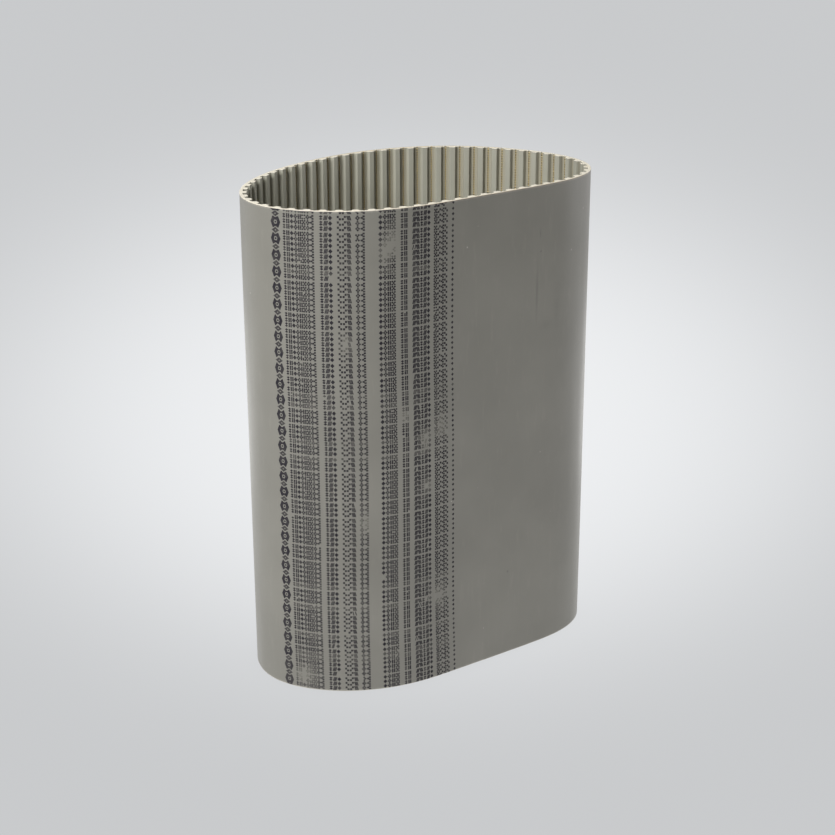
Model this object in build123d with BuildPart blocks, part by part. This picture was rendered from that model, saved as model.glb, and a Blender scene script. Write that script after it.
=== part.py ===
from build123d import *
from math import cos, sin, tan, radians, hypot
import os

# Timing belt sleeve, metric trapezoidal teeth, 10 mm pitch.
# One endless cast polyurethane loop with a helically wound tension cord layer,
# standing on its cut edge with the teeth inside.  All lengths in millimetres,
# +Z up, origin at the centre of the footprint on the base edge, +X along the
# long way of the loop.
#
# The loop bends, so it is drawn as 21 sections of three teeth each.  Sections
# meet at gap centres, where the belt is thinnest, and each meeting line carries
# a hinge whose axis is on the cord centre line.
#
# A point on the belt is given by its station (distance along the pitch line)
# and its offset (distance outward from the pitch line, the middle of the cords).

# standard tooth form
pitch = 10.0                 # tooth spacing along the pitch line
tooth_count = 63             # teeth round the loop
tooth_height = 2.5           # land to tooth tip
total_thickness = 4.5        # back to tooth tip
tooth_base = 5.3             # tooth width at the land
flank_angle = 20.0           # each flank leans this far from the tooth's middle line
corner_radius = 0.4          # at the roots and tips of the teeth

# layers, as offsets
back = 1.0                                       # smooth back
land = back - (total_thickness - tooth_height)   # gap floor
tip = land - tooth_height                        # tooth tip

# sleeve
belt_width = 323.0           # height of the sleeve as it stands
rim = 1.0                    # solid polyurethane above and below the cord layer

# cord layer
cord_radius = 0.45
cord_clearance = 0.02        # between the cord layer and the polyurethane
pocket = cord_radius + cord_clearance            # half the pocket's thickness

# winding nose groove in the middle of every gap, open down to the cords
nose_width = 0.8
nose_floor = -0.3            # offset of its bottom

# sections and their end faces
teeth_per_section = 3
section_count = tooth_count // teeth_per_section
parting = 0.05               # each face stands this far back from the hinge axis
relief_angle = 13.0          # each face leans back this much, so the loop can bend

# printed marking on the back
ink_thickness = 0.03
ink_gap = 0.01               # between the ink and the back
ink_margin = 2.0             # from the columns to the cut edges
ink_inner = back + ink_gap
ink_outer = ink_inner + ink_thickness
# section number: (from, to) of each column, in pitches from the start of section 1
ink_columns = {
    5: [(14.70, 14.95)],
    6: [(15.20, 16.20), (16.50, 17.75)],
    7: [(18.10, 18.60), (18.95, 20.10)],
    8: [(21.05, 21.50), (21.80, 22.65), (23.00, 23.75)],
    9: [(24.10, 26.10), (26.25, 26.95)],
}

# start of the pitch line, near the +X end of the loop; heading in degrees from +X
start_x = 118.7171
start_y = -26.8084
start_heading = 259.82733
# turn of the pitch line in each pitch, in degrees, clockwise negative, never zero
turns = [
    -12.36550, -13.14380, -12.87630, -11.69300, -9.46150, -6.73620, -4.19140,
    -2.20860, -1.04670, -0.51980, -0.31000, -0.13641, 0.09709, 0.19199,
    -0.25181, -1.37031, -2.81321, -4.13741, -5.11321, -5.85181, -6.13931,
    -6.24501, -6.19411, -6.40811, -7.32761, -8.98601, -10.79771, -11.89571,
    -12.01150, -11.28000, -9.84370, -8.25980, -6.98130, -5.98330, -5.39920,
    -4.80170, -4.30960, -4.01340, -3.77220, -3.57600, -3.28490, -2.88350,
    -2.78910, -3.19660, -3.84260, -4.26050, -4.58550, -4.88350, -5.08630,
    -5.33750, -5.54800, -5.71620, -5.59680, -5.41120, -4.97300, -4.49350,
    -4.28570, -4.72850, -5.66590, -6.80180, -8.07530, -9.46990, -10.92110,
]


# --- the pitch line ---------------------------------------------------------
def step(x, y, heading, turn, length):
    """Follow for `length` an arc that turns by `turn` degrees in one pitch."""
    bend = radians(turn) / pitch
    end = heading + bend * length
    return (
        x + (sin(end) - sin(heading)) / bend,
        y - (cos(end) - cos(heading)) / bend,
        end,
    )


# x, y and heading at each gap centre
gaps = [(start_x, start_y, radians(start_heading))]
for turn in turns:
    gaps.append(step(*gaps[-1], turn, pitch))


def at(station, offset):
    """Point at a station and an offset."""
    i = min(int(station / pitch + 1e-9), tooth_count - 1)
    x, y, heading = step(*gaps[i], turns[i], station - i * pitch)
    return (x - offset * sin(heading), y + offset * cos(heading))


def arcs(start, end, offset):
    """Arcs between two stations, either way round, broken where the bend changes."""
    low, high = sorted((start, end))
    bends = [k * pitch for k in range(tooth_count + 1) if low + 1e-6 < k * pitch < high - 1e-6]
    stops = [low] + bends + [high]
    if start > end:
        stops.reverse()
    for a, b in zip(stops, stops[1:]):
        ThreePointArc(at(a, offset), at((a + b) / 2, offset), at(b, offset))


def lines(*points):
    """Straight lines from point to point."""
    for a, b in zip(points, points[1:]):
        Line(a, b)


# --- sections and teeth -----------------------------------------------------
def section_span(number):
    """Stations of the two hinge axes of a section."""
    start = (number - 1) * teeth_per_section * pitch
    return start, start + teeth_per_section * pitch


def end_stations(number, offset):
    """Stations of the near and far end faces of a section at an offset."""
    start, end = section_span(number)
    face_back = parting + abs(offset) * tan(radians(relief_angle))
    return start + face_back, end - face_back


def near_end(number, face_offset, offset):
    """Point on the near end face."""
    return at(end_stations(number, face_offset)[0], offset)


def far_end(number, face_offset, offset):
    """Point on the far end face."""
    return at(end_stations(number, face_offset)[1], offset)


def tooth(i):
    """Root stations of tooth i and its corners, both from far to near."""
    middle = (i + 0.5) * pitch
    x, y, heading = step(*gaps[i], turns[i], pitch / 2)
    # a length at the land for one unit of length on the pitch line
    land_scale = 1 - radians(turns[i]) / pitch * land
    half_root = tooth_base / 2 / land_scale
    half_tip = tooth_base / 2 - tooth_height * tan(radians(flank_angle))

    def tip_corner(along):
        # the tip is straight, square to the belt at the tooth's middle
        return (
            x + along * cos(heading) - tip * sin(heading),
            y + along * sin(heading) + tip * cos(heading),
        )

    roots = (middle + half_root, middle - half_root)
    corners = [at(roots[0], land), tip_corner(half_tip), tip_corner(-half_tip), at(roots[1], land)]
    return roots, corners


# --- pieces -----------------------------------------------------------------
def save(part, name):
    part.label = name
    export_step(part, f"parts/{name}.step")


def belt_section(number):
    """Polyurethane: back, web and three teeth, with cord pocket and nose grooves."""
    start, end = section_span(number)
    first_tooth = (number - 1) * teeth_per_section
    near_floor, far_floor = end_stations(number, nose_floor)
    tooth_corners = []
    with BuildPart() as section:
        with BuildSketch() as outline:
            with BuildLine():
                arcs(*end_stations(number, back), back)
                lines(
                    far_end(number, back, back),
                    far_end(number, 0, 0),
                    far_end(number, nose_floor, nose_floor),
                )
                here = far_floor
                for i in reversed(range(first_tooth, first_tooth + teeth_per_section)):
                    (far_root, near_root), corners = tooth(i)
                    far_lip = (i + 1) * pitch - nose_width / 2
                    near_lip = i * pitch + nose_width / 2
                    lines(at(here, nose_floor), at(far_lip, nose_floor), at(far_lip, land))
                    arcs(far_lip, far_root, land)
                    lines(*corners)
                    arcs(near_root, near_lip, land)
                    lines(at(near_lip, land), at(near_lip, nose_floor))
                    tooth_corners += corners
                    here = near_lip
                lines(
                    at(here, nose_floor),
                    at(near_floor, nose_floor),
                    near_end(number, 0, 0),
                    near_end(number, back, back),
                )
            make_face()
            rounded = outline.vertices().filter_by(
                lambda v: min(hypot(v.X - x, v.Y - y) for x, y in tooth_corners) < 0.02
            )
            fillet(rounded, radius=corner_radius)
        extrude(amount=belt_width)
        with BuildSketch(Plane.XY.offset(rim)):
            with BuildLine():
                arcs(start, end, pocket)
                lines(at(end, pocket), at(end, -pocket))
                arcs(end, start, -pocket)
                lines(at(start, -pocket), at(start, pocket))
            make_face()
        extrude(amount=belt_width - 2 * rim, mode=Mode.SUBTRACT)
    return section.part


def tension_cords(number):
    """The wound cord layer that fills the pocket, drawn as one band."""
    r = cord_radius
    near, far = end_stations(number, r)
    with BuildPart() as cords:
        with BuildSketch(Plane.XY.offset(rim + cord_clearance)):
            with BuildLine():
                arcs(near, far, r)
                lines(at(far, r), far_end(number, 0, 0), at(far, -r))
                arcs(far, near, -r)
                lines(at(near, -r), near_end(number, 0, 0), at(near, r))
            make_face()
        extrude(amount=belt_width - 2 * rim - 2 * cord_clearance)
    return cords.part


def ink_marking(number):
    """Thin ink columns just outside the back."""
    with BuildPart() as ink:
        with BuildSketch(Plane.XY.offset(ink_margin)):
            for first, last in ink_columns[number]:
                start, end = first * pitch, last * pitch
                with BuildLine():
                    arcs(start, end, ink_outer)
                    lines(at(end, ink_outer), at(end, ink_inner))
                    arcs(end, start, ink_inner)
                    lines(at(start, ink_inner), at(start, ink_outer))
                make_face()
        extrude(amount=belt_width - 2 * ink_margin)
    return ink.part


os.makedirs("parts", exist_ok=True)

for number in range(1, section_count + 1):
    save(belt_section(number), f"belt_section_{number:02d}")
    save(tension_cords(number), f"tension_cords_{number:02d}")
    if number in ink_columns:
        save(ink_marking(number), f"ink_marking_{number:02d}")
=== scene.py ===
"""A toothed belt: an endless loop of cast polyurethane, 63 teeth on a 10 mm pitch, with
yellow tension cords and a printed back.

It stands on one cut edge on the floor (z = 0) with its teeth inside the loop, and its
width runs up z.  Belt coordinates, in mm: s runs clockwise (seen from above) along the
pitch line, n is the distance outward from that line and z is the height.
"""
import math

import bpy
import numpy as np
from mathutils import Matrix, Vector


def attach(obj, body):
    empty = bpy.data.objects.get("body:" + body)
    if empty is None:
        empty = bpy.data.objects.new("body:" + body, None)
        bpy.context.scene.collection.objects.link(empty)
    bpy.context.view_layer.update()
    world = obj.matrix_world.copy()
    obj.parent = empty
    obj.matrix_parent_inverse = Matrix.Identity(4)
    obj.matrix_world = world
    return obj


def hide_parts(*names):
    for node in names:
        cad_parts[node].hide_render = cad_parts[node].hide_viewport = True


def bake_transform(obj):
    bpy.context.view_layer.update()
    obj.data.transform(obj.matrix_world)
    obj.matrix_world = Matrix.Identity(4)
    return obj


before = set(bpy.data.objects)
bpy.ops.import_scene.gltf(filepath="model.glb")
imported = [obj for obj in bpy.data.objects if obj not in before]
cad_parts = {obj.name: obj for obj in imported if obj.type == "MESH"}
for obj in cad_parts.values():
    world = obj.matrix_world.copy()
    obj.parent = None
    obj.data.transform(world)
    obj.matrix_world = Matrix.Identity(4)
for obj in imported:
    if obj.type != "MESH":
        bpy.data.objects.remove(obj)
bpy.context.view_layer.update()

MM = 0.001
rng = np.random.default_rng(20240611)

# ---------------------------------------------------------------------------
# Belt dimensions (mm)
# ---------------------------------------------------------------------------
PITCH, TEETH, HEIGHT = 10.0, 63, 323.0
HALF_PITCH = PITCH / 2
LOOP = PITCH * TEETH
BACK, LAND, TIP = 1.0, -1.0, -3.5       # n of the smooth back, the thin web and the tooth tips
HINGE_GAPS = 3                          # gaps between two hinges of the frame
HINGES = TEETH // HINGE_GAPS
OPEN_HINGE = 11                         # the hinge where the loop is parted
PARTING = 0.012                         # how far each end draws back there

# x, y and heading of the pitch line at gap 0
START = (118.7171, -26.8084, math.radians(259.82733))
# turn of the pitch line over each pitch, in degrees; negative is clockwise
TURNS = np.radians(np.array([
    -12.3655, -13.1438, -12.8763, -11.693, -9.4615, -6.7362, -4.1914, -2.2086, -1.0467,
    -0.5198, -0.31, -0.13641, 0.09709, 0.19199, -0.25181, -1.37031, -2.81321, -4.13741,
    -5.11321, -5.85181, -6.13931, -6.24501, -6.19411, -6.40811, -7.32761, -8.98601, -10.79771,
    -11.89571, -12.0115, -11.28, -9.8437, -8.2598, -6.9813, -5.9833, -5.3992, -4.8017,
    -4.3096, -4.0134, -3.7722, -3.576, -3.2849, -2.8835, -2.7891, -3.1966, -3.8426,
    -4.2605, -4.5855, -4.8835, -5.0863, -5.3375, -5.548, -5.7162, -5.5968, -5.4112,
    -4.973, -4.4935, -4.2857, -4.7285, -5.6659, -6.8018, -8.0753, -9.4699, -10.9211,
]))

# the cast wall wanders by about 0.1 mm: amplitude, waves round the loop,
# height per radian of climb, phase
SWAYS = [(0.07, 5, 61.0, 0.0), (0.05, 11, -83.0, 1.3), (0.035, 23, 47.0, 0.4),
         (0.02, 41, -29.0, 2.1)]


# ---------------------------------------------------------------------------
# Pitch line
# ---------------------------------------------------------------------------
def next_gap(x, y, heading, turn):
    """Place and heading one pitch further along an arc that turns by `turn`."""
    bend = turn / PITCH
    if abs(bend) < 1e-12:
        return x + PITCH * math.cos(heading), y + PITCH * math.sin(heading), heading
    end = heading + bend * PITCH
    return (x + (math.sin(end) - math.sin(heading)) / bend,
            y - (math.cos(end) - math.cos(heading)) / bend, end)


GAPS = [START]
for gap_turn in TURNS:
    GAPS.append(next_gap(*GAPS[-1], gap_turn))
GAPS = np.array(GAPS)


def pitch_line(s):
    """Points on the pitch line and unit outward normals at stations s."""
    s = np.asarray(s, float) % LOOP
    gap = np.minimum((s / PITCH + 1e-9).astype(int), TEETH - 1)
    run = s - gap * PITCH
    bend = TURNS[gap] / PITCH
    x0, y0, heading0 = GAPS[gap].T
    heading = heading0 + bend * run
    straight = np.abs(bend) < 1e-9
    divisor = np.where(straight, 1.0, bend)
    x = x0 + np.where(straight, run * np.cos(heading0),
                      (np.sin(heading) - np.sin(heading0)) / divisor)
    y = y0 + np.where(straight, run * np.sin(heading0),
                      -(np.cos(heading) - np.cos(heading0)) / divisor)
    return np.stack([x, y], 1), np.stack([-np.sin(heading), np.cos(heading)], 1)


def sway(s, z):
    """How far the wall wanders outward at station s and height z."""
    angle = 2 * math.pi * np.asarray(s, float) / LOOP
    z = np.asarray(z, float)
    return sum(size * np.sin(waves * angle + z / climb + phase)
               for size, waves, climb, phase in SWAYS)


def place(s, n, z):
    """Space points (mm) for belt coordinates."""
    points, outward = pitch_line(s)
    reach = np.asarray(n) + sway(s, z)
    return np.column_stack([points + outward * reach[:, None], z])


# ---------------------------------------------------------------------------
# Section of the wall
# ---------------------------------------------------------------------------
ROOT_X, TIP_X, FILLET = 2.07, 3.54, 0.4     # fillet centres from the gap's centre, radius
OUT_STEP = 0.625                            # station step along the smooth back
OUT_PER = int(PITCH / OUT_STEP)
CREASE = math.radians(50)                   # sharper corners than this keep a hard edge


def half_gap():
    """Inner outline from a gap's centre (x 0) to a tooth's centre (x 5), as (x, n, zone).

    Zone 2 is the groove round the bare cords, 1 the thin web and 0 the solid tooth.
    """
    points = [(0.0, -0.30, 2.0), (0.17, -0.30, 2.0), (0.31, -0.34, 2.0), (0.355, -0.48, 1.9),
              (0.38, -0.70, 1.6), (0.45, -0.88, 1.2), (0.54, -0.96, 1.0), (0.66, LAND, 1.0),
              (1.0, LAND, 1.0), (1.55, LAND, 0.95), (ROOT_X, LAND, 0.8)]
    for degrees in (14, 28, 42, 56, 70):
        a = math.radians(degrees)
        points.append((ROOT_X + FILLET * math.sin(a), LAND - FILLET + FILLET * math.cos(a),
                       0.7 - degrees / 200.0))
    points.append((2.80, -2.24, 0.12))
    for degrees in (20, 34, 48, 62, 76, 90):
        a = math.radians(degrees)
        points.append((TIP_X - FILLET * math.cos(a), TIP + FILLET - FILLET * math.sin(a), 0.0))
    return points + [(4.0, TIP, 0.0), (4.5, TIP, 0.0), (HALF_PITCH, TIP, 0.0)]


def inner_outline():
    """Stations, offsets and zones of the whole inner outline, from the tooth centre
    before gap 0 round to that centre again, and the index where each gap starts."""
    half = half_gap()
    rows, starts = [], []
    for gap in range(TEETH):
        starts.append(len(rows))
        # the tooth centre after the gap belongs to the next gap
        for side, points in ((-1, half[::-1]), (1, half[1:-1])):
            pitch_index = (gap - 1) % TEETH if side < 0 else gap
            bend = TURNS[pitch_index] / PITCH
            root = HALF_PITCH - (HALF_PITCH - ROOT_X) / (1 - bend * LAND)
            for x, n, zone in points:
                if x >= ROOT_X:
                    # teeth keep their true width on a bend
                    run = HALF_PITCH - (HALF_PITCH - x) / (1 - bend * n)
                else:
                    run = x / ROOT_X * root
                rows.append((gap * PITCH + side * run, n, zone))
    return *np.array(rows).T, starts


def corner_normals(points):
    """Normals before and after each corner of the inner outline, pointing out of the
    solid, and the averaged one that the rounded rims are pulled along."""
    along = np.roll(points, -1, 0) - points
    along /= np.linalg.norm(along, axis=1)[:, None]
    after = np.stack([along[:, 1], -along[:, 0]], 1)
    before = np.roll(after, 1, 0)
    mean = before + after
    mean /= np.linalg.norm(mean, axis=1)[:, None]
    soft = ((before * after).sum(1) > math.cos(CREASE))[:, None]
    return np.where(soft, mean, before), np.where(soft, mean, after), mean


OUT_S = np.arange(0, LOOP, OUT_STEP) - HALF_PITCH
OUT_LINE, OUT_OUTWARD = pitch_line(OUT_S)
OUT_POINTS = OUT_LINE + OUT_OUTWARD * BACK

IN_S, IN_N, IN_ZONE, IN_START = inner_outline()
IN_LINE, IN_OUTWARD = pitch_line(IN_S)
IN_POINTS = IN_LINE + IN_OUTWARD * IN_N[:, None]
IN_BEFORE, IN_AFTER, IN_MEAN = corner_normals(IN_POINTS)

# rounded rim at each cut edge: distance from the edge, inset, lean of the normal (radians)
RIM = np.array([(0.0, 0.16, 1.25), (0.045, 0.045, 0.785), (0.16, 0.0, 0.0)])
BODY_Z = np.linspace(0.45, HEIGHT - 0.45, 26)
STRAIGHT = np.zeros(len(BODY_Z))
LEVEL_Z = np.concatenate([RIM[:, 0], BODY_Z, HEIGHT - RIM[::-1, 0]])
LEVEL_INSET = np.concatenate([RIM[:, 1], STRAIGHT, RIM[::-1, 1]])
LEVEL_LEAN = np.concatenate([-RIM[:, 2], STRAIGHT, RIM[::-1, 2]])
LEVELS = len(LEVEL_Z)


# ---------------------------------------------------------------------------
# Mesh helpers
# ---------------------------------------------------------------------------
def make_mesh(name, points, faces, materials, attributes, material_index=None,
              normals=None, smooth=True):
    """An object from points in mm.  Normals come one per face corner; each attribute
    is per point, and the points themselves are kept as the attribute "rest"."""
    points = points * MM
    mesh = bpy.data.meshes.new(name)
    mesh.from_pydata(points.tolist(), [], faces)
    for material in materials:
        mesh.materials.append(material)
    if material_index is not None:
        mesh.polygons.foreach_set("material_index", np.asarray(material_index, np.int32))
    for key, values in {"rest": points, **attributes}.items():
        values = np.asarray(values, np.float32)
        is_vector = values.ndim == 2
        attribute = mesh.attributes.new(key, "FLOAT_VECTOR" if is_vector else "FLOAT", "POINT")
        attribute.data.foreach_set("vector" if is_vector else "value", values.ravel())
    mesh.polygons.foreach_set("use_smooth", np.full(len(mesh.polygons), smooth))
    if normals is not None:
        mesh.normals_split_custom_set(normals.tolist())
    mesh.update()
    piece = bpy.data.objects.new(name, mesh)
    bpy.context.scene.collection.objects.link(piece)
    return piece


def grid(columns, rows):
    """Quads over rows x columns points numbered row * columns + column."""
    row, column = np.meshgrid(np.arange(rows - 1), np.arange(columns - 1), indexing="ij")
    a = (row * columns + column).ravel()
    return np.stack([a, a + 1, a + 1 + columns, a + columns], 1)


# ---------------------------------------------------------------------------
# Belt wall
# ---------------------------------------------------------------------------
def wall_columns(middle_gap, side):
    """Indices into the inner and outer outlines for the three gaps round middle_gap,
    tooth centre to tooth centre.  A side keeps only the half before or after the middle."""
    gaps = [(middle_gap + k) % TEETH for k in (-1, 0, 1)]
    following = (gaps[-1] + 1) % TEETH
    starts = IN_START + [len(IN_S)]
    inner = [i for gap in gaps for i in range(starts[gap], starts[gap + 1])]
    inner = np.array(inner + [IN_START[following]])
    outer = [gap * OUT_PER + j for gap in gaps for j in range(OUT_PER)]
    outer = np.array(outer + [following * OUT_PER])
    if side == "before":
        return inner[:len(inner) // 2 + 1], outer[:len(outer) // 2 + 1]
    if side == "after":
        return inner[len(inner) // 2:], outer[len(outer) // 2:]
    return inner, outer


def skin_points(s, points, pull, outward):
    """Plan points of one skin, level by level, with their stations and heights."""
    heights = np.repeat(LEVEL_Z, len(s))
    stations = np.tile(s, LEVELS)
    inset = np.repeat(LEVEL_INSET, len(s))
    plan = (np.tile(points, (LEVELS, 1)) - np.tile(pull, (LEVELS, 1)) * inset[:, None]
            + np.tile(outward, (LEVELS, 1)) * sway(stations, heights)[:, None])
    return plan, stations, heights


def skin_faces(start_normals, end_normals, flipped):
    """Quads of one skin, their material indices and their corner normals.
    Each quad takes the start normal at its first column and the end normal at its second."""
    columns = len(start_normals)
    quads = grid(columns, LEVELS)
    first = quads[:, :1] % columns
    level = quads[:, 0] // columns
    is_rim = np.abs(LEVEL_LEAN) > 0
    material_index = (is_rim[level] | is_rim[level + 1]).astype(int)
    if flipped:
        quads = quads[:, [0, 3, 2, 1]]
    column = quads % columns
    plan = np.where((column == first)[..., None], start_normals[column], end_normals[column])
    lean = LEVEL_LEAN[quads // columns][..., None]
    normals = np.concatenate([plan * np.cos(lean), np.sin(lean)], axis=2)
    return quads, material_index, normals.reshape(-1, 3)


def cut_strip(inner, outer):
    """Triangles between the two outlines; inner points are numbered after the outer ones."""
    last_out, last_in = len(outer) - 1, len(inner) - 1
    out_s = OUT_S[outer[0]] + OUT_STEP * np.arange(len(outer))
    # inner stations carried on past the place where the count starts again
    in_s = IN_S[inner]
    in_s = in_s + LOOP * np.concatenate([[0], np.cumsum(np.diff(in_s) < -LOOP / 2)])
    in_s += out_s[0] - in_s[0]
    strip, a, b = [], 0, 0
    while a < last_out or b < last_in:
        if b == last_in or (a < last_out
                            and abs(out_s[a + 1] - in_s[b]) <= abs(in_s[b + 1] - out_s[a])):
            strip.append((a, a + 1, len(outer) + b))
            a += 1
        else:
            strip.append((a, len(outer) + b + 1, len(outer) + b))
            b += 1
    return strip


def wall_piece(name, middle_gap, side):
    """The length of wall round one hinge."""
    inner, outer = wall_columns(middle_gap, side)
    out_count, in_count = len(outer), len(inner)
    out_plan, out_s, out_z = skin_points(OUT_S[outer], OUT_POINTS[outer],
                                         OUT_OUTWARD[outer], OUT_OUTWARD[outer])
    in_plan, in_s, in_z = skin_points(IN_S[inner], IN_POINTS[inner],
                                      IN_MEAN[inner], IN_OUTWARD[inner])
    if side:
        heading = GAPS[middle_gap, 2]
        draw = -PARTING if side == "before" else PARTING
        shift = np.array([math.cos(heading), math.sin(heading)]) * draw
        out_plan[(out_count - 1 if side == "before" else 0)::out_count] += shift
        in_plan[(in_count - 1 if side == "before" else 0)::in_count] += shift
    base = len(out_s)
    points = np.concatenate([np.column_stack([out_plan, out_z]),
                             np.column_stack([in_plan, in_z])])
    belt = np.concatenate([
        np.column_stack([out_s, np.full(base, BACK), out_z]),
        np.column_stack([in_s, np.tile(IN_N[inner], LEVELS), in_z])])
    zone = np.concatenate([np.zeros(base), np.tile(IN_ZONE[inner], LEVELS)])

    out_quads, out_index, out_normals = skin_faces(OUT_OUTWARD[outer], OUT_OUTWARD[outer], True)
    in_quads, in_index, in_normals = skin_faces(IN_AFTER[inner], IN_BEFORE[inner], False)
    faces = np.concatenate([out_quads, in_quads + base]).tolist()
    material_index = np.concatenate([out_index, in_index]).tolist()
    flat_normals = []
    # cut faces at the bottom and the top
    strip = cut_strip(inner, outer)
    for level, up in ((0, -1.0), (LEVELS - 1, 1.0)):
        for triangle in strip:
            face = [level * out_count + v if v < out_count
                    else base + level * in_count + v - out_count for v in triangle]
            faces.append(face[::-1] if up > 0 else face)
            material_index.append(1)
            flat_normals += [[0, 0, up]] * 3
    # hidden ends that meet the next piece
    for out_column, in_column in ((0, 0), (out_count - 1, in_count - 1)):
        for level in range(LEVELS - 1):
            a = level * out_count + out_column
            d = base + level * in_count + in_column
            face = [a, a + out_count, d + in_count, d]
            if out_column == 0:
                face = face[::-1]
            faces.append(face)
            material_index.append(0)
            p, q, r = (points[v] for v in face[:3])
            normal = np.cross(q - p, r - q)
            normal /= max(np.linalg.norm(normal), 1e-12)
            flat_normals += [normal.tolist()] * 4
    return make_mesh(name, points, faces, [MATERIALS["polyurethane"], MATERIALS["cut_edge"]],
                     {"belt": belt * MM, "zone": zone}, material_index,
                     np.concatenate([out_normals, in_normals, np.array(flat_normals)]))


# ---------------------------------------------------------------------------
# Tension cords: bare at the middle of each gap
# ---------------------------------------------------------------------------
CORDS, CORD_PITCH = 184, 1.75
CORD_Z = (HEIGHT - (CORDS - 1) * CORD_PITCH) / 2 + CORD_PITCH * np.arange(CORDS)
CORD_RADIUS, CORD_HALF_LENGTH = 0.45, 0.55
# each bare length shows the inward part of its round: five points at either end
CORD_ARC = np.radians([-66.0, -33.0, 0.0, 33.0, 66.0])
CORD_FACES = [[k, k + 5, k + 6, k + 1] for k in range(4)]
CORD_FACES += [[0, 4, 9, 5], [0, 1, 2, 3, 4], [9, 8, 7, 6, 5]]
CORD_POINTS = 2 * len(CORD_ARC)

# one cord lies bare along part of each cut edge: edge, middle station, length, n of its centre
STREAKS = [("top", 486.0, 162.0, 0.0), ("top", 14.6, 5.4, -1.2),
           ("bottom", 210.0, 162.0, 0.0), ("bottom", 520.0, 130.0, -0.03)]
STREAK_HALF_WIDTH, STREAK_STEP, STREAK_MARGIN = 0.43, 0.8, 2
STREAK_DEPTH, STREAK_PROUD = 0.2, 0.012


def bare_cords(gap, side):
    """Bare lengths of cord in one gap: stations, offsets, heights and tints."""
    radius = CORD_RADIUS + rng.uniform(-0.02, 0.02, CORDS)
    centre_z = CORD_Z + rng.uniform(-0.05, 0.05, CORDS)
    centre_n = rng.uniform(-0.42, -0.32, CORDS)
    start = PARTING if side == "after" else -CORD_HALF_LENGTH
    end = -PARTING if side == "before" else CORD_HALF_LENGTH
    wave = 0.72 + 0.12 * np.sin(np.arange(CORDS) / 9.0 + gap)
    tint = np.clip(wave + rng.normal(0, 0.16, CORDS), 0, 1)
    tint[rng.random(CORDS) < 0.06] *= 0.25      # a few cords are much duller
    s = np.tile(np.repeat([start, end], len(CORD_ARC)), CORDS) + gap * PITCH
    n = centre_n[:, None] - radius[:, None] * np.cos(CORD_ARC)
    z = centre_z[:, None] + radius[:, None] * np.sin(CORD_ARC)
    return s, np.tile(n, 2).ravel(), np.tile(z, 2).ravel(), np.repeat(tint, CORD_POINTS)


def streak_strip(s_lo, s_hi, edge, middle, length, centre_n):
    """The part of a lens-shaped sliver of cut cord that lies between two stations."""
    start = max(s_lo, middle - length / 2 + STREAK_MARGIN)
    end = min(s_hi, middle + length / 2 - STREAK_MARGIN)
    if end - start < 1.0:
        return None
    s = np.linspace(start, end, max(3, int((end - start) / STREAK_STEP)))
    lens = np.sqrt(np.clip(1 - ((s - middle) / (length / 2)) ** 2, 0.02, 1))
    ripple = 1 + 0.10 * np.sin(s * 1.7) + 0.07 * np.sin(s * 4.1)
    half = STREAK_HALF_WIDTH * lens * ripple
    low, high = -STREAK_PROUD, STREAK_DEPTH
    if edge == "top":
        low, high = HEIGHT - STREAK_DEPTH, HEIGHT + STREAK_PROUD
    n = np.stack([centre_n - half, centre_n + half, centre_n + half, centre_n - half], 1)
    z = np.tile([low, low, high, high], len(s))
    faces = []
    for first in range(0, 4 * (len(s) - 1), 4):
        faces += [[first + j, first + (j + 1) % 4, first + 4 + (j + 1) % 4, first + 4 + j]
                  for j in range(4)]
    faces += [[3, 2, 1, 0], [4 * (len(s) - 1) + j for j in range(4)]]
    return np.repeat(s, 4), n.ravel(), z, faces


def cords_piece(name, middle_gap, side):
    """The bare cords and edge streaks round one hinge."""
    before, after = (middle_gap - 1) % TEETH, (middle_gap + 1) % TEETH
    gaps = [(before, None), (middle_gap, side), (after, None)]
    middle = PITCH * middle_gap
    s_lo, s_hi = middle - PITCH * HINGE_GAPS / 2, middle + PITCH * HINGE_GAPS / 2
    if side == "before":
        gaps, s_hi = gaps[:2], middle
    elif side == "after":
        gaps, s_lo = gaps[1:], middle
    parts, faces, count = [], [], 0
    for gap, gap_side in gaps:
        parts.append(bare_cords(gap, gap_side))
        faces += [[count + CORD_POINTS * cord + v for v in face]
                  for cord in range(CORDS) for face in CORD_FACES]
        count += CORDS * CORD_POINTS
    for edge, streak_middle, length, centre_n in STREAKS:
        for turn in (-LOOP, 0.0, LOOP):
            strip = streak_strip(s_lo, s_hi, edge, streak_middle + turn, length, centre_n)
            if strip is None:
                continue
            s, n, z, strip_faces = strip
            parts.append((s, n, z, 0.35 + 0.3 * np.sin(s * 0.9) * np.sin(s * 0.23)))
            faces += [[count + v for v in face] for face in strip_faces]
            count += len(s)
    s, n, z, tint = (np.concatenate(values) for values in zip(*parts))
    return make_mesh(name, place(s, n, z), faces, [MATERIALS["tension_cord"]],
                     {"belt": np.column_stack([s, n, z]) * MM, "tint": tint})


# ---------------------------------------------------------------------------
# Print on the back: rows of small plain shapes that stand for nothing.
# A stroke is a polygon of (u, v): u along the belt, v up.
# ---------------------------------------------------------------------------
def bar(u0, u1, v0, v1):
    return [(u0, v0), (u1, v0), (u1, v1), (u0, v1)]


def slant(u, lean=0.55, width=0.48, half_height=1.3):
    return [(u, -half_height), (u + width, -half_height),
            (u + width + lean, half_height), (u + lean, half_height)]


def dot(u, v, radius=0.42):
    octagon = ((1, 0.42), (0.42, 1), (-0.42, 1), (-1, 0.42),
               (-1, -0.42), (-0.42, -1), (0.42, -1), (1, -0.42))
    return [(u + radius * x, v + radius * y) for x, y in octagon]


def lozenge(half_width, half_height):
    return [(half_width, 0), (0, half_height), (-half_width, 0), (0, -half_height)]


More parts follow.
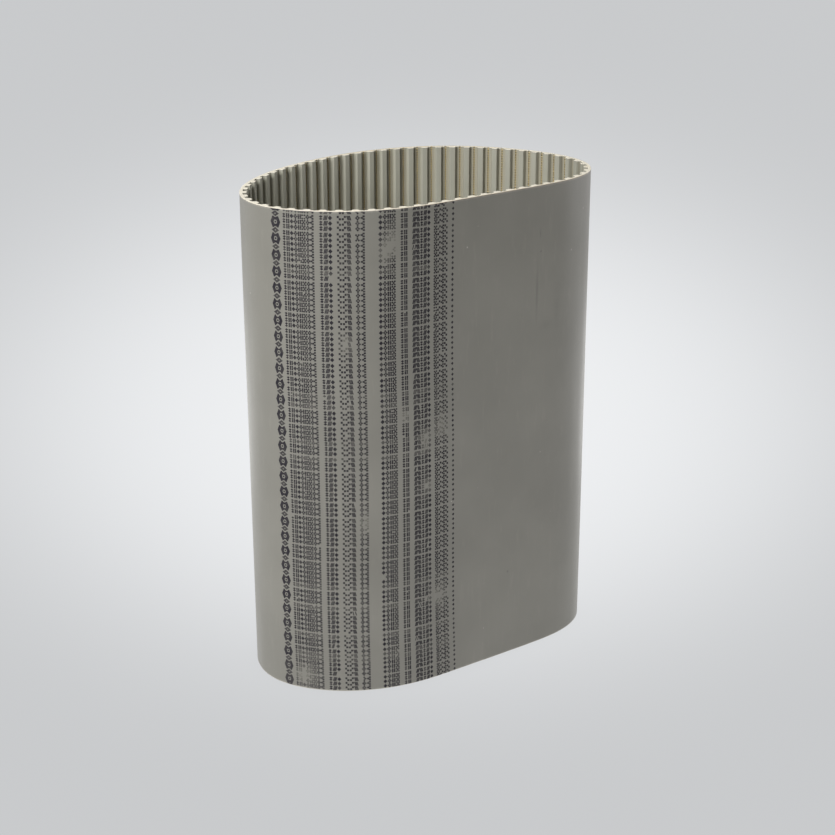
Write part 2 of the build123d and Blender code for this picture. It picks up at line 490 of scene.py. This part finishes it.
def ring(points, hole):
    """A ring drawn as one four-cornered stroke per side; hole is its size as a fraction."""
    return [[a, b, (b[0] * hole, b[1] * hole), (a[0] * hole, a[1] * hole)]
            for a, b in zip(points, points[1:] + points[:1])]


# each mark fits a box 2.1 wide and 2.7 high about its middle
MARKS = [
    [dot(u, v) for u, v in ((-0.68, 0.98), (0.68, 0.98), (0, 0), (-0.68, -0.98), (0.68, -0.98))],
    [lozenge(1.05, 1.35)],
    [slant(u) for u in (-1.2, -0.50, 0.20)],
    [bar(-1.0, 0.0, 0.43, 1.3), bar(0.0, 1.0, -0.43, 0.43), bar(-1.0, 0.0, -1.3, -0.43)],
    [dot(u, v, radius=0.38) for u in (-0.6, 0.6) for v in (-0.95, 0.0, 0.95)],
    [slant(u, lean=-0.55) for u in (0.70, 0.0, -0.70)],
    [bar(-1.0, -0.1, 0.15, 1.25), bar(0.1, 1.0, -1.25, -0.15)],
    [dot(u, v) for u, v in ((0.0, 1.0), (-0.68, 0.0), (0.68, 0.0), (0.0, -1.0))],
    [[(0.9, 0.72), (0, 1.4), (-0.9, 0.72), (0, 0.05)],
     [(0.9, -0.72), (0, -0.05), (-0.9, -0.72), (0, -1.4)]],
    [bar(0.1, 1.0, 0.15, 1.25), bar(-1.0, -0.1, -1.25, -0.15)],
]
# first station, last station and number of marks across each column
COLUMNS = [(240.3, 260.2, 8), (229.2, 237.4, 3), (218.0, 226.8, 3), (209.7, 215.9, 2),
           (191.1, 202.0, 4), (183.3, 188.3, 2), (167.7, 180.2, 5), (155.0, 165.3, 4)]
LAST_COLUMN, LAST_MARK = 151.2, [lozenge(0.85, 1.0)]
FULL_STEP, MAX_MARK_SIZE = 2.42, 1.12       # mark spacing at size 1, and the largest size
# rows come in groups of three, set a little closer inside a group
ROW_PITCH, ROWS, GROUP, ROW_IN_GROUP, FIRST_ROW_Z = 3.4475, 94, 3, 3.32, 1.75
ROW_SLOPE, SLOPE_MIDDLE = 0.010, 195.0      # rise of a row per mm, and where it is level

BADGE_S, BADGE_Z, BADGE_RADIUS, LOZENGE_RISE = 265.0, 4.4, 3.35, 5.17
BADGE = ring([(BADGE_RADIUS * x, BADGE_RADIUS * y) for x, y in
              ((0.62, 1), (-0.62, 1), (-1, 0), (-0.62, -1), (0.62, -1), (1, 0))], hole=0.40)
BADGE.append(bar(-0.45, 0.45, -0.42, 0.42))
BADGE_LOZENGE = ring(lozenge(2.7, 1.9), hole=0.30)

# worn patches: station, height, half-length, half-height
WORN = [(193.5, 303.0, 4.5, 9.0), (198.0, 297.0, 4.0, 6.0), (159.5, 179.0, 5.0, 9.0),
        (171.5, 172.0, 4.0, 7.0), (170.0, 140.0, 4.0, 5.0), (254.0, 10.0, 8.0, 7.0),
        (222.0, 240.0, 3.0, 6.0), (186.0, 190.0, 4.0, 5.0), (212.0, 120.0, 4.0, 7.0),
        (161.0, 60.0, 6.0, 8.0)]
INK_SPREAD = 0.26                           # growth of each stroke, edge to edge
INK_EDGE = 0.22                             # bare margin at the cut edges
INK_BASE, INK_TOP = BACK + 0.004, BACK + 0.028


def area(polygon):
    following = polygon[1:] + polygon[:1]
    return sum(a[0] * b[1] - b[0] * a[1] for a, b in zip(polygon, following)) / 2


def ink_cover(s, z):
    """How dense the ink is, before chance variation."""
    cover = 0.98
    for worn_s, worn_z, size_s, size_z in WORN:
        cover -= 0.8 * math.exp(-(((s - worn_s) / size_s) ** 2 + ((z - worn_z) / size_z) ** 2))
    return cover


def spread_stroke(polygon):
    """The stroke grown about its middle and kept clear of the cut edges."""
    lows = [min(p[k] for p in polygon) for k in (0, 1)]
    highs = [max(p[k] for p in polygon) for k in (0, 1)]
    mid_u, mid_v = [(a + b) / 2 for a, b in zip(lows, highs)]
    grow_u, grow_v = [1 + INK_SPREAD / (b - a) for a, b in zip(lows, highs)]
    grown = [(mid_u + (u - mid_u) * grow_u, mid_v + (v - mid_v) * grow_v) for u, v in polygon]
    return [(u, min(max(v, INK_EDGE), HEIGHT - INK_EDGE)) for u, v in grown]


def row_layout():
    """Station, mark and size of every mark in a row."""
    layout, kind = [], 3
    for start, end, count in COLUMNS:
        step = (end - start) / count
        for k in range(count):
            layout.append((start + step * (k + 0.5), MARKS[kind % len(MARKS)],
                           min(MAX_MARK_SIZE, step / FULL_STEP)))
            kind += 3 if k % 2 else 4
    return layout + [(LAST_COLUMN, LAST_MARK, 1.0)]


def print_strokes():
    """Every stroke of the print as (middle station, polygon of (s, z), cover)."""
    strokes = []

    def put(s, polygon, cover):
        polygon = spread_stroke(polygon)
        if abs(area(polygon)) > 0.02:
            strokes.append((s, polygon, min(1.0, max(0.12, cover))))

    layout = row_layout()
    slip, slide = 0.0, 0.0      # shifts of a group of rows, up and along
    for row in range(-1, ROWS + 1):
        group, k = divmod(row, GROUP)
        if k == 0:
            slip = 0.22 * math.sin(group * 2.1) + rng.uniform(-0.12, 0.12)
            slide = 0.30 * math.sin(group * 0.33) + rng.uniform(-0.10, 0.10)
        row_z = FIRST_ROW_Z + group * GROUP * ROW_PITCH + k * ROW_IN_GROUP + slip
        press = 1.0 - 0.22 * (rng.random() < 0.10)      # one row in ten is printed lightly
        for s, mark, size in layout:
            z = row_z + ROW_SLOPE * (s - SLOPE_MIDDLE) + rng.normal(0, 0.03)
            # the stamp ran a little off square towards the lower edge
            skew = min(max((205.0 - s) / 50.0, 0.0), 1.0)
            s = s - 3.0 * skew * max(1 - z / HEIGHT, 0.0) ** 2.2
            cover = ink_cover(s, z) * press + rng.normal(0, 0.05)
            if cover < 0.2:
                continue
            for stroke in mark:
                # strokes drop out where the ink is thin
                if rng.random() < 0.008 + 0.5 * max(0.0, 0.7 - cover):
                    continue
                put(s, [(s + slide + u * size, z + v) for u, v in stroke],
                    cover + rng.normal(0, 0.04))
    # badges at the far end of the rows: a six-sided ring, then a lozenge before the next
    for k in range(-1, ROWS // GROUP + 1):
        z = BADGE_Z + GROUP * ROW_PITCH * k
        s = BADGE_S + 0.30 * math.sin(k * 0.33) + rng.uniform(-0.1, 0.1)
        lift = rng.uniform(-0.12, 0.12)
        badge_cover = ink_cover(BADGE_S, z)
        for shape, rise, share in ((BADGE, 0.0, 1.0), (BADGE_LOZENGE, LOZENGE_RISE, 0.85)):
            for stroke in shape:
                put(BADGE_S, [(s + u, z + rise + lift + v) for u, v in stroke],
                    badge_cover * share + rng.normal(0, 0.04))
    return strokes


def ink_piece(name, strokes):
    """Thin flat-sided slabs, one for each stroke."""
    s, n, z, covers, faces = [], [], [], [], []
    for _, polygon, cover in strokes:
        if area(polygon) < 0:
            polygon = polygon[::-1]
        corners, first = len(polygon), len(s)
        for offset in (INK_BASE, INK_TOP):
            s += [p[0] for p in polygon]
            z += [p[1] for p in polygon]
            n += [offset] * corners
            covers += [cover] * corners
        low = [first + i for i in range(corners)]
        high = [first + corners + i for i in range(corners)]
        faces += [low, high[::-1]]
        faces += [[low[(i + 1) % corners], low[i], high[i], high[(i + 1) % corners]]
                  for i in range(corners)]
    return make_mesh(name, place(s, n, z), faces, [MATERIALS["ink"]], {"ink_cover": covers},
                     smooth=False)


# ---------------------------------------------------------------------------
# Materials
# ---------------------------------------------------------------------------
class Tree:
    """A short way to write node trees.  Each method adds a node and returns its output."""

    def __init__(self, name):
        self.material = bpy.data.materials.new(name)
        self.material.use_nodes = True
        self.nodes = self.material.node_tree.nodes
        self.links = self.material.node_tree.links
        self.nodes.clear()

    def put(self, socket, value):
        if isinstance(value, bpy.types.NodeSocket):
            self.links.new(value, socket)
        elif isinstance(value, tuple) and len(value) == 3 and len(socket.default_value) == 4:
            socket.default_value = (*value, 1.0)
        else:
            socket.default_value = value

    def add(self, kind, inputs=None, **settings):
        node = self.nodes.new(kind)
        for key, value in settings.items():
            setattr(node, key, value)
        for key, value in (inputs or {}).items():
            self.put(node.inputs[key], value)
        return node

    def math(self, operation, a, b=0.0, clamp=False):
        return self.add("ShaderNodeMath", {0: a, 1: b, 2: 0.0}, operation=operation,
                        use_clamp=clamp).outputs[0]

    def plus(self, a, b):
        return self.math("ADD", a, b)

    def minus(self, a, b):
        return self.math("SUBTRACT", a, b)

    def times(self, a, b, clamp=False):
        return self.math("MULTIPLY", a, b, clamp)

    def over(self, a, b):
        return self.math("DIVIDE", a, b)

    def larger(self, a, b):
        return self.math("MAXIMUM", a, b)

    def square(self, value):
        return self.times(value, value)

    def bell(self, squared):
        """1 at the middle, falling to 0: exp(-squared)."""
        return self.math("EXPONENT", self.times(squared, -1.0))

    def attribute(self, name, output="Fac"):
        return self.add("ShaderNodeAttribute", attribute_name=name).outputs[output]

    def split(self, vector):
        return self.add("ShaderNodeSeparateXYZ", {0: vector}).outputs

    def vector(self, operation, inputs, output=0):
        return self.add("ShaderNodeVectorMath", inputs, operation=operation).outputs[output]

    def scaled(self, vector, x, y, z):
        return self.vector("MULTIPLY", {0: vector, 1: (x, y, z)})

    def noise(self, vector, scale=1.0, detail=2.0, rough=0.5, distortion=0.0):
        return self.add("ShaderNodeTexNoise", {
            "Vector": vector, "Scale": scale, "Detail": detail, "Roughness": rough,
            "Distortion": distortion}).outputs[0]

    def ramp(self, value, low, high, start=0.0, end=1.0):
        """A smooth step from start (value at low) to end (value at high)."""
        return self.add("ShaderNodeMapRange", {0: value, 1: low, 2: high, 3: start, 4: end},
                        interpolation_type="SMOOTHSTEP").outputs[0]

    def mix(self, amount, a, b):
        node = self.add("ShaderNodeMix", {0: amount, 6: a, 7: b}, data_type="RGBA")
        return node.outputs[2]

    def bump(self, height, distance, strength, normal=None):
        inputs = {"Height": height, "Distance": distance, "Strength": strength}
        if normal is not None:
            inputs["Normal"] = normal
        return self.add("ShaderNodeBump", inputs).outputs[0]

    def finish(self, shader):
        self.links.new(shader, self.add("ShaderNodeOutputMaterial").inputs[0])
        return self.material

    def surface(self, colour, roughness, normal, ior, specular=0.5):
        return self.finish(self.add("ShaderNodeBsdfPrincipled", {
            "Base Color": colour, "Roughness": roughness, "Normal": normal, "IOR": ior,
            "Specular IOR Level": specular}).outputs[0])


BACK_DARK, BACK_LIGHT = (0.170, 0.1665, 0.1475), (0.200, 0.196, 0.174)
BACK_STREAK, BACK_PALE = (0.186, 0.181, 0.160), (0.34, 0.325, 0.285)
RUB_COLOUR, NICK_COLOUR, SPECK_COLOUR = (0.085, 0.082, 0.076), (0.62, 0.60, 0.56), (0.60, 0.58, 0.54)
TOOTH_DARK, TOOTH_LIGHT = (0.325, 0.320, 0.265), (0.395, 0.392, 0.330)
# a painted highlight for one flank of the teeth, and painted shade for their roots
TOOTH_FLANK_HIGHLIGHT, ROOT_PAINTED_SHADE = (0.47, 0.465, 0.395), (0.105, 0.092, 0.060)
WEB_COLOUR, GROOVE_COLOUR = (0.335, 0.312, 0.235), (0.11, 0.082, 0.045)
EDGE_LIGHT, EDGE_WARM, EDGE_DARK = (0.88, 0.84, 0.72), (0.85, 0.80, 0.67), (0.66, 0.60, 0.47)
EDGE_BROWN = (0.25, 0.17, 0.09)
CORD_DULL, CORD_YELLOW, CORD_FIBRE = (0.50, 0.36, 0.15), (0.98, 0.80, 0.40), (0.36, 0.26, 0.12)
INK_COLOUR = (0.018, 0.016, 0.022)
ROUGHNESS = 0.38            # of the polyurethane
CORD_TWIST = 0.42           # mm per turn of the yarn

# spots on the back: station, height, half-length, half-height (mm), strength
RUBS = [(83.6, 252, 0.85, 16, 0.42), (81.6, 292, 0.5, 2.6, 0.45), (80.9, 280, 0.45, 0.5, 0.9),
        (66.0, 238, 2.2, 13, 0.16), (76.0, 230, 6.0, 3.0, 0.12), (250.0, 30, 5.0, 7.0, 0.10),
        (104.0, 61, 0.6, 0.7, 0.7)]
NICKS = [(140, 292, 0.42, 0.5, 0.5), (53, 276, 0.4, 0.5, 0.4), (40.0, 301, 0.4, 0.5, 0.4)]


def make_polyurethane():
    """Cast polyurethane: warm grey satin outside, paler inside, faintly tan where the cords show
    through the thin web, with a painted highlight on one flank of each tooth and painted shade by
    the roots."""
    t = Tree("polyurethane")
    rest, zone = t.attribute("rest", "Vector"), t.attribute("zone")
    run, n, z = t.split(t.attribute("belt", "Vector"))
    cloud = t.noise(rest, scale=13.0, detail=4.0, rough=0.55)
    streak = t.noise(t.scaled(rest, 70, 70, 3.0), detail=3.0, rough=0.55, distortion=0.2)
    fine = t.noise(t.scaled(rest, 300, 300, 50.0), rough=0.6)
    grain = t.noise(rest, scale=1500.0, rough=0.6)

    def spot(s_mm, z_mm, size_s, size_z, strength):
        u = t.over(t.minus(run, s_mm * MM), size_s * MM)
        v = t.over(t.minus(z, z_mm * MM), size_z * MM)
        return t.times(t.bell(t.plus(t.square(u), t.square(v))), strength)

    # the smooth back
    base = t.mix(t.ramp(cloud, low=0.30, high=0.72), BACK_DARK, BACK_LIGHT)
    base = t.mix(t.ramp(streak, low=0.42, high=0.72, end=0.16), base, BACK_STREAK)
    base = t.mix(t.ramp(fine, low=0.55, high=0.80, end=0.10), base, BACK_PALE)
    base = t.mix(t.ramp(grain, low=0.35, high=0.75, end=0.16), base, BACK_DARK)
    rub = spot(*RUBS[0])
    for row in RUBS[1:]:
        rub = t.larger(rub, spot(*row))
    smear = t.noise(t.scaled(rest, 130, 130, 22.0))
    rub = t.times(rub, t.ramp(smear, low=0.25, high=0.6, start=0.6))
    base = t.mix(rub, base, RUB_COLOUR)
    nick, *other_nicks = [spot(*row) for row in NICKS]
    base = t.mix(t.larger(nick, t.larger(*other_nicks)), base, NICK_COLOUR)

    # the inner side: paler teeth, with a painted highlight up one flank
    inner = t.ramp(n, low=-0.0009, high=-0.0004, start=1.0, end=0.0)
    phase = t.math("FRACT", t.over(run, PITCH * MM))

    def band(middle, half_width):
        """A band up the wall at a fraction of each pitch."""
        return t.bell(t.square(t.over(t.minus(phase, middle), half_width)))

    tooth = t.mix(t.ramp(cloud, low=0.30, high=0.72), TOOTH_DARK, TOOTH_LIGHT)
    tooth = t.mix(t.ramp(fine, low=0.45, high=0.75, end=0.25), tooth, TOOTH_LIGHT)
    # painted highlight: the flank that the key lamps catch is lightened in the colour
    tooth = t.mix(t.times(band(middle=0.29, half_width=0.030), 0.45), tooth, TOOTH_FLANK_HIGHLIGHT)
    base = t.mix(inner, base, tooth)
    # the web shows the cord layer, painted shade bands lie by the roots on one side of each gap, and
    # the grooves are brown
    cord_lines = t.math("SINE", t.times(z, 2 * math.pi / (CORD_PITCH * MM)))
    web = t.times(t.times(zone, inner), t.ramp(cord_lines, low=-1.0, high=1.0, start=0.70))
    web = t.times(web, t.ramp(cloud, low=0.2, high=0.8, start=0.8), clamp=True)
    base = t.mix(web, base, WEB_COLOUR)
    # painted shade: the root beside the unlit flank is darkened in the colour
    root = t.times(t.times(band(middle=0.785, half_width=0.060), inner), 0.52)
    base = t.mix(root, base, ROOT_PAINTED_SHADE)
    base = t.mix(t.ramp(zone, low=1.1, high=1.8, end=0.85), base, GROOVE_COLOUR)

    # rubbed, paler arrises next to the two cut edges
    bottom = t.ramp(z, low=0.0003, high=0.0016, start=1.0, end=0.0)
    top = t.ramp(z, low=(HEIGHT - 1.6) * MM, high=(HEIGHT - 0.3) * MM)
    arris = t.times(t.larger(bottom, top), t.ramp(fine, low=0.25, high=0.7, start=0.15, end=0.6))
    base = t.mix(arris, base, BACK_PALE)
    # a few white specks of dust
    cells = t.add("ShaderNodeTexVoronoi", {"Vector": rest, "Scale": 150.0, "Randomness": 1.0})
    rare = t.ramp(t.noise(rest, scale=33.0), low=0.62, high=0.68)
    specks = t.times(t.ramp(cells.outputs[0], low=0.04, high=0.08, start=1.0, end=0.0), rare)
    base = t.mix(t.times(specks, 0.6), base, SPECK_COLOUR)

    rough = t.ramp(streak, low=0.3, high=0.7, start=ROUGHNESS - 0.03, end=ROUGHNESS + 0.04)
    rough = t.plus(rough, t.ramp(grain, low=0.3, high=0.7, start=-0.03, end=0.04))
    wave = t.noise(t.scaled(rest, 26, 26, 14.0))
    normal = t.bump(wave, distance=0.00030, strength=0.45)
    normal = t.bump(streak, distance=0.00004, strength=0.6, normal=normal)
    normal = t.bump(grain, distance=0.00003, strength=0.7, normal=normal)
    return t.surface(base, rough, normal, ior=1.5)


def make_cut_edge():
    """The knife-cut edge: raw cream urethane with fine drag lines along the cut."""
    t = Tree("cut_edge")
    rest, belt = t.attribute("rest", "Vector"), t.attribute("belt", "Vector")
    drag = t.noise(t.scaled(belt, 60, 4200, 4200), detail=3.0, rough=0.6)
    patch = t.noise(rest, scale=55.0, detail=3.0, rough=0.6)
    pore = t.noise(rest, scale=2600.0, rough=0.6)
    base = t.mix(t.ramp(patch, low=0.3, high=0.7), EDGE_LIGHT, EDGE_WARM)
    base = t.mix(t.ramp(drag, low=0.45, high=0.8, end=0.35), base, EDGE_DARK)
    base = t.mix(t.ramp(pore, low=0.62, high=0.8, end=0.3), base, EDGE_DARK)
    # the outer arris of the top edge is browned along one side of the loop
    run, n, z = t.split(belt)
    brown = t.times(t.ramp(n, low=0.00072, high=0.00097), t.ramp(z, low=0.3, high=0.32))
    stretch = t.times(t.ramp(run, low=0.02, high=0.05),
                      t.ramp(run, low=0.14, high=0.22, start=1.0, end=0.15))
    brown = t.times(brown, stretch)
    brown = t.times(brown, t.ramp(patch, low=0.2, high=0.6, start=0.6), clamp=True)
    base = t.mix(brown, base, EDGE_BROWN)
    normal = t.bump(drag, distance=0.00006, strength=0.8)
    normal = t.bump(pore, distance=0.00003, strength=0.5, normal=normal)
    rough = t.ramp(patch, low=0.3, high=0.7, start=0.5, end=0.66)
    return t.surface(base, rough, normal, ior=1.48)


def make_cord():
    """Twisted aramid yarn: yellow, duller where urethane has wetted it."""
    t = Tree("tension_cord")
    rest, tint = t.attribute("rest", "Vector"), t.attribute("tint")
    run = t.split(t.attribute("belt", "Vector"))[0]
    z = t.split(t.attribute("belt", "Vector"))[2]
    twist = t.math("SINE", t.times(t.plus(run, z), 2 * math.pi / (CORD_TWIST * MM)))
    fibre = t.noise(rest, scale=5200.0, rough=0.6)
    base = t.mix(tint, CORD_DULL, CORD_YELLOW)
    base = t.mix(t.ramp(fibre, low=0.35, high=0.7, end=0.25), base, CORD_FIBRE)
    normal = t.bump(t.plus(twist, t.times(fibre, 0.8)), distance=0.00004, strength=0.7)
    rough = t.ramp(fibre, low=0.3, high=0.7, start=0.5, end=0.7)
    return t.surface(base, rough, normal, ior=1.5)


def make_ink():
    """Printing ink: nearly black, thin and broken where the print has faded."""
    t = Tree("ink")
    rest, cover = t.attribute("rest", "Vector"), t.attribute("ink_cover")
    blot = t.noise(rest, scale=900.0, detail=3.0, rough=0.6)
    cover = t.times(cover, t.ramp(blot, low=0.25, high=0.55, start=0.84), clamp=True)
    base = t.mix(cover, BACK_STREAK, INK_COLOUR)
    normal = t.bump(blot, distance=0.00002, strength=0.5)
    rough = t.ramp(blot, low=0.3, high=0.7, start=0.50, end=0.64)
    return t.surface(base, rough, normal, ior=1.45, specular=0.2)


MATERIALS = {"polyurethane": make_polyurethane(), "cut_edge": make_cut_edge(),
             "tension_cord": make_cord(), "ink": make_ink()}


def section_number(k):
    return f"{(k - 1) % HINGES + 1:02d}"


# builder, object name stem, material slot, frame node stem
KINDS = [(wall_piece, "belt_wall", "polyurethane", "belt_section"),
         (cords_piece, "tension_cord", "tension_cord", "tension_cords")]
STROKES = print_strokes()
NODES = set(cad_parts)

for hinge in range(HINGES):
    before, after = section_number(hinge), section_number(hinge + 1)
    middle_gap = HINGE_GAPS * hinge
    s_start = PITCH * HINGE_GAPS * (hinge - 0.5)
    s_end = PITCH * HINGE_GAPS * (hinge + 0.5)
    # side of the hinge, tag of the name, sections covered
    if hinge == OPEN_HINGE:
        spans = [("before", f"{before}_end", [before]), ("after", f"{after}_end", [after])]
    else:
        spans = [(None, f"{before}_{after}", [before, after])]
    pieces = [(build(f"{stem}_{tag}", middle_gap, side), slot, node, sections)
              for build, stem, slot, node in KINDS for side, tag, sections in spans]
    strokes = [stroke for stroke in STROKES if s_start <= stroke[0] < s_end]
    if strokes:
        ink = ink_piece(f"print_{before}_{after}", strokes)
        pieces.append((ink, "ink", "ink_marking", [before, after]))
    for piece, slot, node, sections in pieces:
        names = [f"{node}_{section}" for section in sections]
        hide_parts(*[name for name in names if name in NODES])
        if len(sections) == 1:
            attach(piece, f"section_{sections[0]}")
        else:
            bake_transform(piece)

# ---------------------------------------------------------------------------
# Floor: pale, with a painted pool of light falling off softly to the frame's corners
# ---------------------------------------------------------------------------
FLOOR_HALF, FLOOR_Z = 14.0, -0.0002
FLOOR_CONTACT = 0.93                    # shade where the belt meets the floor
# display brightness at the frame's corners (red, green, blue) and its rise to the middle
FLOOR_LEVELS, FLOOR_RISE = (0.78723529, 0.79319608, 0.80013725), 0.15066667
FALL_CENTRE, FALL_SIZE, FALL_POWER = (0.5004, 0.4996), (0.5257, 0.2949), 3.31  # of the frame
LOOP_HALF_SIZE = (0.118, 0.060)         # ellipse inside the loop
GLOW_INSIDE = 0.10
# glow of the near, middle and far rings, and what is added on the far side of the belt
GLOW = [(0.88, 0.30), (1.0, 0.70), (0.05, 0.65)]


def seen_floor(t):
    """What the camera sees of the floor: a painted glow, brightest near the middle of the frame,
    with painted shade where the belt meets it.
    """
    window = t.split(t.add("ShaderNodeTexCoord").outputs["Window"])
    across, along = [t.over(t.minus(window[k], FALL_CENTRE[k]), FALL_SIZE[k]) for k in (0, 1)]
    radius = t.math("SQRT", t.plus(t.square(across), t.square(along)))
    fall = t.bell(t.math("POWER", radius, FALL_POWER))
    linear = {}
    for channel, level in enumerate(FLOOR_LEVELS):
        display = t.plus(t.times(fall, FLOOR_RISE), level)
        # the sRGB curve, undone
        linear[channel] = t.math("POWER", t.over(t.plus(display, 0.055), 1.055), 2.4)
    colour = t.add("ShaderNodeCombineXYZ", linear).outputs[0]
    occlusion = t.add("ShaderNodeAmbientOcclusion", {"Distance": 0.03}, samples=8).outputs["AO"]
    shade = t.ramp(occlusion, low=0.15, high=0.75, start=FLOOR_CONTACT)
    shaded = t.vector("SCALE", {0: colour, 3: shade})
    return t.add("ShaderNodeEmission", {"Color": shaded, "Strength": 1.0}).outputs[0]


def glowing_floor(t):
    """The light the floor gives back: bright under the belt, fading away from it."""
    position = t.add("ShaderNodeNewGeometry").outputs["Position"]
    distance = t.vector("LENGTH", {0: t.scaled(position, 1, 1, 0)}, "Value")
    near = t.ramp(distance, low=0.30, high=0.45)
    middle = t.ramp(distance, low=0.7, high=1.0)
    far = t.ramp(distance, low=2.0, high=3.0)
    depth = t.vector("DOT_PRODUCT", {0: position, 1: (0.5, 0.866, 0.0)}, "Value")
    behind = t.ramp(depth, low=0.0, high=0.3)
    half_x, half_y = LOOP_HALF_SIZE
    ellipse = t.vector("LENGTH", {0: t.scaled(position, 1 / half_x, 1 / half_y, 0)}, "Value")
    outside = t.ramp(ellipse, low=0.72, high=1.02)
    rings = [t.times(t.minus(1.0, near), outside), t.minus(near, middle), t.minus(middle, far)]
    glow = t.times(t.minus(1.0, outside), GLOW_INSIDE)
    for ring_mask, (level, extra) in zip(rings, GLOW):
        glow = t.plus(glow, t.times(ring_mask, t.plus(level, t.times(behind, extra))))
    return t.add("ShaderNodeEmission",
                 {"Color": (1.0, 0.995, 0.985), "Strength": glow}).outputs[0]


def make_floor_material():
    t = Tree("studio_floor")
    is_camera = t.add("ShaderNodeLightPath").outputs["Is Camera Ray"]
    above = t.add("ShaderNodeMixShader", {0: is_camera, 1: glowing_floor(t), 2: seen_floor(t)})
    # clear from below
    below = t.add("ShaderNodeNewGeometry").outputs["Backfacing"]
    clear = t.add("ShaderNodeBsdfTransparent").outputs[0]
    both = t.add("ShaderNodeMixShader", {0: below, 1: above.outputs[0], 2: clear})
    return t.finish(both.outputs[0])


def make_floor():
    mesh = bpy.data.meshes.new("floor")
    corners = [(x * FLOOR_HALF, y * FLOOR_HALF, FLOOR_Z)
               for x, y in ((-1, -1), (1, -1), (1, 1), (-1, 1))]
    mesh.from_pydata(corners, [], [(0, 1, 2, 3)])
    mesh.materials.append(make_floor_material())
    floor = bpy.data.objects.new("floor", mesh)
    bpy.context.scene.collection.objects.link(floor)


make_floor()

# ---------------------------------------------------------------------------
# Lights
# ---------------------------------------------------------------------------
VIEW_X, VIEW_Y = 0.5, 0.8660254         # level direction the camera looks along
AIM_HEIGHT = 0.16
# name, azimuth and elevation (degrees), distance, width, height (m), watts, colour.
# Azimuth 0 is the camera's side, and it grows towards the right of the frame.
LAMPS = [
    ("key_front", -25, 35, 1.5, 0.6, 0.6, 14.6, (1.0, 0.99, 0.975)),
    ("key_left", -45, 25, 1.5, 0.5, 0.5, 10.0, (1.0, 0.99, 0.975)),
    ("rim_right", 100, 15, 1.3, 0.3, 0.9, 3.7, (1.0, 0.985, 0.98)),
    ("back_right", 125, 12, 1.5, 0.8, 0.8, 4.5, (1.0, 0.975, 0.97)),
    ("back_left", -112, 18, 1.5, 0.5, 0.6, 2.5, (1.0, 0.99, 0.98)),
    ("overhead", 0, 89, 2.2, 0.3, 0.3, 11.0, (1.0, 0.99, 0.97)),
]
WORLD_COLOUR, WORLD_STRENGTH = (0.98, 0.985, 1.0, 1.0), 0.13


def make_lamp(name, azimuth, elevation, distance, width, height, watts, colour):
    azimuth, elevation = math.radians(azimuth), math.radians(elevation)
    toward_camera = np.array([-VIEW_X, -VIEW_Y, 0.0])
    rightward = np.array([VIEW_Y, -VIEW_X, 0.0])
    level = toward_camera * math.cos(azimuth) + rightward * math.sin(azimuth)
    away = level * math.cos(elevation) + np.array([0, 0, math.sin(elevation)])
    data = bpy.data.lights.new(name, "AREA")
    data.shape = "RECTANGLE"
    data.size = width
    data.size_y = height
    data.energy = watts
    data.color = colour
    lamp = bpy.data.objects.new(name, data)
    bpy.context.scene.collection.objects.link(lamp)
    lamp.location = Vector(np.array([0.0, 0.0, AIM_HEIGHT]) + away * distance)
    lamp.rotation_mode = "QUATERNION"
    lamp.rotation_quaternion = Vector(-away).to_track_quat("-Z", "Y")
    lamp.visible_camera = False


for lamp_row in LAMPS:
    make_lamp(*lamp_row)

world = bpy.data.worlds.new("studio")
world.use_nodes = True
background = world.node_tree.nodes["Background"]
background.inputs[0].default_value = WORLD_COLOUR
background.inputs[1].default_value = WORLD_STRENGTH
scene = bpy.context.scene
scene.world = world
scene.view_settings.view_transform = "Standard"
scene.view_settings.look = "None"

# ---------------------------------------------------------------------------
# Camera: above and in front of the belt's broad side
# ---------------------------------------------------------------------------
CAMERA_PLACE = (-0.560190, -0.977746, 0.5775461)
PITCH_DOWN, ROLL = math.radians(20.566759), math.radians(-0.206338)
SENSOR_WIDTH, LENS = 36.0, 76.305065    # mm
SHIFT_X, SHIFT_Y = 0.00296, 0.00038


def make_camera():
    right = Vector((VIEW_Y, -VIEW_X, 0.0))
    forward = Vector((VIEW_X * math.cos(PITCH_DOWN), VIEW_Y * math.cos(PITCH_DOWN),
                      -math.sin(PITCH_DOWN)))
    up = right.cross(forward)
    camera_x = right * math.cos(ROLL) + up * math.sin(ROLL)
    camera_y = up * math.cos(ROLL) - right * math.sin(ROLL)
    data = bpy.data.cameras.new("camera")
    camera = bpy.data.objects.new("camera", data)
    scene.collection.objects.link(camera)
    rows = zip(camera_x, camera_y, -forward, CAMERA_PLACE)
    camera.matrix_world = Matrix((*rows, (0, 0, 0, 1)))
    data.sensor_width = SENSOR_WIDTH
    data.lens = LENS
    data.shift_x = SHIFT_X
    data.shift_y = SHIFT_Y
    data.clip_start = 0.05
    data.clip_end = 60.0
    scene.camera = camera


make_camera()
